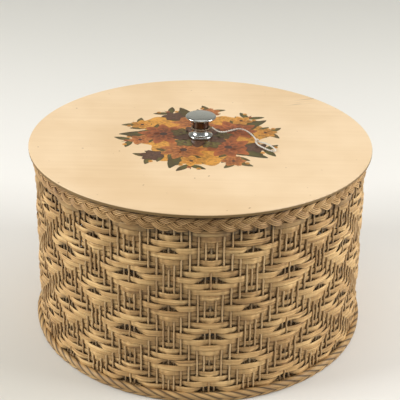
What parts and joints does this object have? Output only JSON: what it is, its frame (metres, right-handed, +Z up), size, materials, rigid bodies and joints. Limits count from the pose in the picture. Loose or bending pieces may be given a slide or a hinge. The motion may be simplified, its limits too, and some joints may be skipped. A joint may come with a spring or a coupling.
{
  "type": "woven work box",
  "caption": "Round work box of flat reed woven in diamond twill over thin stakes, with plaited borders, a flat lift-off wooden lid and a chrome knob.",
  "frame": {"origin": "middle of the footprint, on the surface that the box stands on", "axes": "+Z up along the box's axis, -Y towards the side that the picture shows, +X to its right"},
  "size_m": [0.2849, 0.285, 0.1806],
  "materials": {
    "reed": "flat reed, golden tan, satin",
    "stake": "round reed, pale beige",
    "plait": "plaited reed, golden tan",
    "board": "bare board",
    "lid": "cream varnish, satin",
    "transfer": "printed film under varnish",
    "chrome": "polished",
    "steel": "zinc plated",
    "string": "twisted cotton"
  },
  "bodies": {
    "basket": {"foot_border": "plait", "base_board": "board", "rim_border": "plait", "stakes": "stake", "weaver_01": "reed", "weaver_02": "reed", "weaver_03": "reed", "weaver_04": "reed", "weaver_05": "reed", "weaver_06": "reed", "weaver_07": "reed", "weaver_08": "reed", "weaver_09": "reed", "weaver_10": "reed", "weaver_11": "reed", "weaver_12": "reed", "weaver_13": "reed", "weaver_14": "reed", "weaver_15": "reed", "weaver_16": "reed", "weaver_17": "reed", "weaver_18": "reed", "weaver_19": "reed", "weaver_20": "reed", "weaver_21": "reed", "weaver_22": "reed", "weaver_23": "reed", "weaver_24": "reed", "weaver_25": "reed", "weaver_26": "reed", "weaver_27": "reed", "weaver_28": "reed", "weaver_29": "reed"},
    "lid": {"lid_board": "lid", "lid_hoop": "board", "floral_transfer": "transfer", "knob": "chrome", "knob_screw": "steel", "knob_washer": "steel", "string_neck_turn": "string", "string_lead": "string", "string_end_loop": "string"}
  },
  "joints": [
    {"name": "lid_lift", "type": "slide", "parent": "basket", "child": "lid", "axis": [0, 0, 1], "range_m": [0, 0.15]}
  ]
}
